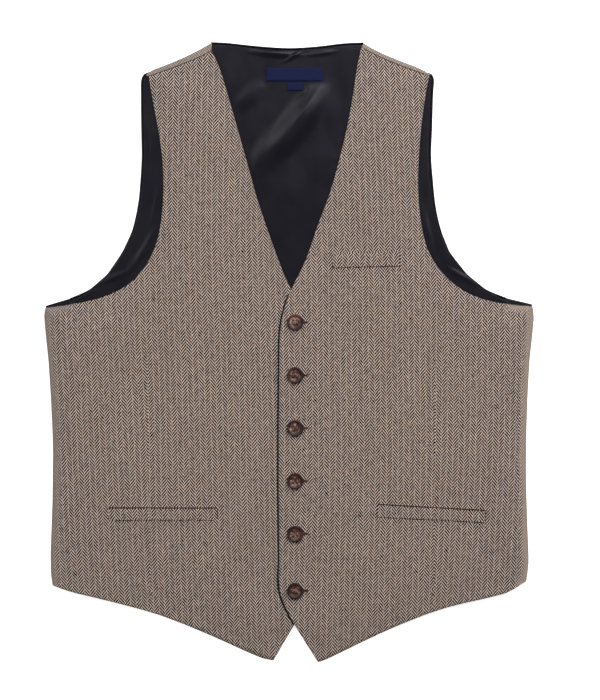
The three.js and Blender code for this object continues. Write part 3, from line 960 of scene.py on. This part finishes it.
def front_edge_shadow_line(height):
    """A dark tube under the edge of the left front: painted shade, where that edge casts its shadow on the
    right front.
    """
    roll = FRONT_SHADOW_LINE
    line = []
    for point in sorted(outline_of("front_left", None), key=lambda point: -point.y):
        x, y = point.x / MM - roll["inward"], point.y / MM
        if point.x < roll["reach"] * MM and roll["foot"] < y < roll["top"]:
            line.append(metres(x, y, height(x - 1, y) + roll["rise"]))
    bm = bmesh.new()
    tube(bm, smoothed(line, 5), roll["radius"] * MM, 10)
    finished("front_edge_shadow_line", bm, "back_satin")


def stitch(bm, start, end, radius):
    """One short stitch, as a small closed bead between two points."""
    middle = (start + end) / 2
    length = (end - start).length
    turn = (end - start).to_track_quat("X", "Z").to_matrix().to_4x4()
    place = Matrix.Translation(middle) @ turn @ Matrix.Diagonal((length / 2, radius, radius, 1))
    bmesh.ops.create_icosphere(bm, subdivisions=2, radius=1, matrix=place)


def label(node):
    """A woven label with its ends sewn down."""
    bm = copy_of(node, TRIM_CUTS)
    top, _, edge = sides_of(bm)
    for vert in top:
        vert.co.z -= LABEL_THINNER * MM
    round_edge(bm, edge, 1)
    piece = finished(f"woven_{node}", bm, "label_tape", [node])
    low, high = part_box(node)
    sewn = {name: value * MM for name, value in LABEL_STITCH.items()}
    bm = bmesh.new()
    count = max(int((high.y - low.y) / sewn["pitch"]), 3)
    level = high.z - sewn["slant"]
    for x, out in ((low.x, -1), (high.x, 1)):
        for row in range(count):
            y = low.y + (row + 0.5) * (high.y - low.y) / count
            inner = Vector((x - out * sewn["inside"], y + sewn["slant"], level))
            outer = Vector((x + out * sewn["outside"], y - sewn["slant"], level - sewn["fall"]))
            stitch(bm, inner, outer, sewn["radius"])
    stitches = finished(f"woven_{node}_stitches", bm, "navy_thread")


def button(node, turn, tone):
    """A four-hole button with a raised rim and a dished middle, and the thread that holds it."""
    low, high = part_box(node)
    centre = (low + high) / 2
    lift = front_relief(centre.x / MM, centre.y / MM) * MM
    base = Vector((centre.x, centre.y, low.z + lift))
    bm = bmesh.new()
    bm.from_mesh(bored(button_body(), button_drills()))
    local = bm.verts.layers.float_vector.new("local")
    own = bm.verts.layers.float.new("tone")
    for vert in bm.verts:
        vert[local] = vert.co + metres(40 * turn, 25 * turn, 0)
        vert[own] = tone
    turn_and_move(bm, turn, base)
    piece = finished(f"resin_{node}", bm, "button_resin", [node])
    piece.data.set_sharp_from_angle(angle=math.radians(42))
    threads = button_threads()
    turn_and_move(threads, turn, base)
    finished(f"thread_{node}", threads, "button_thread")


def turn_and_move(bm, turn, base):
    """Turns what is made at the origin about its upright axis and moves it to its place."""
    matrix = Matrix.Rotation(math.radians(turn), 3, "Z")
    bmesh.ops.rotate(bm, verts=bm.verts, cent=(0, 0, 0), matrix=matrix)
    bmesh.ops.translate(bm, verts=bm.verts, vec=base)


def button_body():
    """A button's section spun round, without its holes."""
    bm = bmesh.new()
    line = [bm.verts.new(metres(radius, 0, height)) for radius, height in BUTTON_PROFILE]
    edges = [bm.edges.new(pair) for pair in zip(line, line[1:])]
    bmesh.ops.spin(
        bm, geom=line + edges, cent=(0, 0, 0), axis=(0, 0, 1), angle=math.tau, steps=64, use_merge=True,
    )
    bmesh.ops.remove_doubles(bm, verts=bm.verts, dist=0.01 * MM)
    bmesh.ops.recalc_face_normals(bm, faces=bm.faces)
    return mesh_of("button_body", bm)


def button_drills():
    """Four bars where a button's holes go."""
    bm = bmesh.new()
    out = BUTTON_HOLE["out"] * MM
    radius = BUTTON_HOLE["radius"] * MM
    for across in (-1, 1):
        for up in (-1, 1):
            bmesh.ops.create_cone(
                bm, cap_ends=True, segments=20, radius1=radius, radius2=radius,
                depth=BUTTON_HOLE["drill"] * MM, matrix=Matrix.Translation((across * out, up * out, 0)),
            )
    return mesh_of("button_drills", bm)


def button_threads():
    """Two pairs of strands that arch from hole to hole."""
    bm = bmesh.new()
    out = BUTTON_HOLE["out"] * MM
    radius = BUTTON_THREAD["radius"] * MM
    steps = BUTTON_THREAD["steps"]
    for side in (-1, 1):
        for strand in (-1, 1):
            arc = []
            for step in range(steps + 1):
                angle = math.pi * step / steps
                level = BUTTON_THREAD["level"] + BUTTON_THREAD["arch"] * math.sin(angle)
                arc.append(Vector((side * out + strand * radius, math.cos(angle) * out, level * MM)))
            tube(bm, arc, radius, 8)
    return bm


def bored(body, drills):
    """A mesh with another one cut out of it."""
    solid = placed("body", body)
    tool = placed("tool", drills)
    modifier = solid.modifiers.new("holes", "BOOLEAN")
    modifier.object = tool
    modifier.operation = "DIFFERENCE"
    modifier.solver = "EXACT"
    bpy.context.view_layer.update()
    cut = bpy.data.meshes.new_from_object(solid.evaluated_get(bpy.context.evaluated_depsgraph_get()))
    for item in (solid, tool):
        bpy.data.objects.remove(item)
    return cut


def height_on(piece):
    """A function that gives the height of a piece's upper side at a place in millimetres."""
    tree = tree_of(piece.data)
    down = Vector((0, 0, -1))
    return lambda x, y: tree.ray_cast(metres(x, y, 60), down)[0].z / MM


def buttonholes(height):
    """The worked buttonholes, under each button and past its rim, with painted shade: a dark block in each
    slit and a dark disc under each button, seen through its holes.
    """
    stitches = bmesh.new()
    shade_blocks = bmesh.new()
    for node in BUTTONS:
        low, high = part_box(node)
        x, y = (low.x + high.x) / 2 / MM, (low.y + high.y) / 2 / MM
        start, end = x + BUTTONHOLE["start"], x + BUTTONHOLE["end"]
        sew_round(stitches, start, end, y, height)
        # A dark block in the slit: painted shade.
        middle = metres((start + end) / 2, y, height((start + end) / 2, y) + SLIT_SHADE["rise"])
        size = Matrix.Diagonal(((end - start) * MM, SLIT_SHADE["width"] * MM, SLIT_SHADE["height"] * MM, 1))
        bmesh.ops.create_cube(shade_blocks, size=1, matrix=Matrix.Translation(middle) @ size)
        # A dark disc under the button, seen through its holes: painted shade.
        base = metres(x, y, low.z / MM + front_relief(x, y) + HOLE_SHADE["rise"])
        bmesh.ops.create_cone(
            shade_blocks, cap_ends=True, segments=24, radius1=HOLE_SHADE["radius"] * MM, radius2=HOLE_SHADE["radius"] * MM,
            depth=HOLE_SHADE["height"] * MM, matrix=Matrix.Translation(base),
        )
    finished("buttonhole_stitches", stitches, "brown_thread")
    finished("buttonhole_shades", shade_blocks, "back_satin")


def sew_round(bm, start, end, y, height):
    """Stitches along both sides of a slit and round its end."""
    work = BUTTONHOLE_STITCH
    radius = work["radius"] * MM
    count = round((BUTTONHOLE["end"] - BUTTONHOLE["start"]) / BUTTONHOLE["pitch"])
    for index in range(count):
        x = start + (end - start) * index / (count - 1)
        level = height(x, y)
        for side in (-1, 1):
            inner = metres(x, y + side * BUTTONHOLE["inner"], level + work["inner_rise"])
            outer_x = x + side * BUTTONHOLE["slant"]
            outer = metres(outer_x, y + side * BUTTONHOLE["outer"], level + work["outer_rise"])
            stitch(bm, inner, outer, radius)
    level = height(end, y)
    for index in range(work["round_end"]):
        angle = math.pi * (index / (work["round_end"] - 1) - 0.5)
        ray = Vector((math.cos(angle), math.sin(angle), 0))
        inner = metres(end, y, level + work["inner_rise"]) + ray * (work["end_inner"] * MM)
        outer = metres(end, y, level + work["outer_rise"]) + ray * (BUTTONHOLE["outer"] * MM)
        stitch(bm, inner, outer, radius)


def sunk_line(bm, surface, start, end, kind):
    """A thin dark line along a seam of a welt, which dips into the cloth here and there: partly thread and
    partly painted shade.
    """
    radius, rise = WELT_LINES[kind]
    line = []
    count = max(int(math.dist(start, end) / 1.4), 4)
    for index in range(count + 1):
        x = start[0] + (end[0] - start[0]) * index / count
        y = start[1] + (end[1] - start[1]) * index / count
        dip = uneven("seam", x, y) + uneven("seam_fine", x, y)
        line.append(metres(x, y, surface(x, y) + rise + dip))
    tube(bm, line, radius * MM, 8)


def welt_seams(height):
    """The dark mouth along the top of each lower welt, which is painted shade, and the dark seam along its
    foot and its sewn ends, thread partly painted as shade.
    """
    lines = bmesh.new()
    for node, (x1, y1, x2, y2, x3, y3, x4, y4) in WELT_SIDES.items():
        surface = height["right" if node == "welt_lower_right" else "left"]
        if node != "welt_chest":
            sunk_line(lines, surface, (x3 + 0.6, y3 + 0.4), (x4 - 0.6, y4 + 0.4), "mouth")
        sunk_line(lines, surface, (x1, y1 - 0.4), (x2, y2 - 0.4), "foot")
        sunk_line(lines, surface, (x1 - 0.35, y1), (x3 - 0.35, y3), "first_end")
        sunk_line(lines, surface, (x2 + 0.35, y2), (x4 + 0.35, y4), "last_end")
    finished("welt_seams", lines, "seam_shade")


def camera():
    """Straight above, with the photograph's frame."""
    data = bpy.data.cameras.new("camera")
    data.sensor_fit = "HORIZONTAL"
    data.sensor_width = SENSOR_MM
    height = CAMERA_HEIGHT - CLOTH_LEVEL
    data.lens = SENSOR_MM * height / (PHOTO_WIDTH_PX * MM_PER_PX)
    data.clip_start = 0.05
    data.clip_end = 20
    item = placed("camera", data)
    item.location = metres(*VIEW_CENTRE, CAMERA_HEIGHT)
    bpy.context.scene.camera = item


def panel_light(name, place, size, power, colour):
    """A square panel of light that faces the garment."""
    data = bpy.data.lights.new(name, "AREA")
    data.color = colour
    data.size = size
    data.energy = power
    item = placed(name, data)
    item.location = place
    item.rotation_euler = Vector(place).to_track_quat("Z", "Y").to_euler()


def studio():
    """A pale floor, a pale room and two soft lights."""
    floor = bmesh.new()
    bmesh.ops.create_grid(floor, x_segments=1, y_segments=1, size=FLOOR_SIZE)
    item = placed("pale_floor", mesh_of("pale_floor", floor))
    item.data.materials.append(paper())
    world = bpy.data.worlds.new("pale_room")
    bpy.context.scene.world = world
    world.use_nodes = True
    background = world.node_tree.nodes["Background"]
    background.inputs["Color"].default_value = (1, 1, 1, 1)
    background.inputs["Strength"].default_value = ROOM_LIGHT
    for name, values in LIGHTS.items():
        panel_light(name, *values)
    bpy.context.scene.view_settings.view_transform = "Standard"


camera()
studio()
back_panel()
lining_panel()
fronts = {side: front_panel(side) for side, cut in FRONT_CUTS.items()}
tweed_trim("shoulder_right", strip_cut("right", 0.077))
tweed_trim("shoulder_left", strip_cut("left", 0.082))
tweed_trim("welt_chest", welt_cut("left", (2.6, 1.2), (0.0705, 0.0154)))
tweed_trim("welt_lower_left", welt_cut("left", (0.5, 1.5), (0.115, 0.0128)))
tweed_trim("welt_lower_right", welt_cut("right", (-0.7, 1.3), (0.115, 0.0128)))
for label_node, label_size in LABELS.items():
    label(label_node)
for button_values in zip(BUTTONS, BUTTON_TURNS, BUTTON_TONES):
    button(*button_values)
on_left = height_on(fronts["left"])
on_right = height_on(fronts["right"])
front_edge_shadow_line(on_right)
buttonholes(on_left)
welt_seams({"left": on_left, "right": on_right})
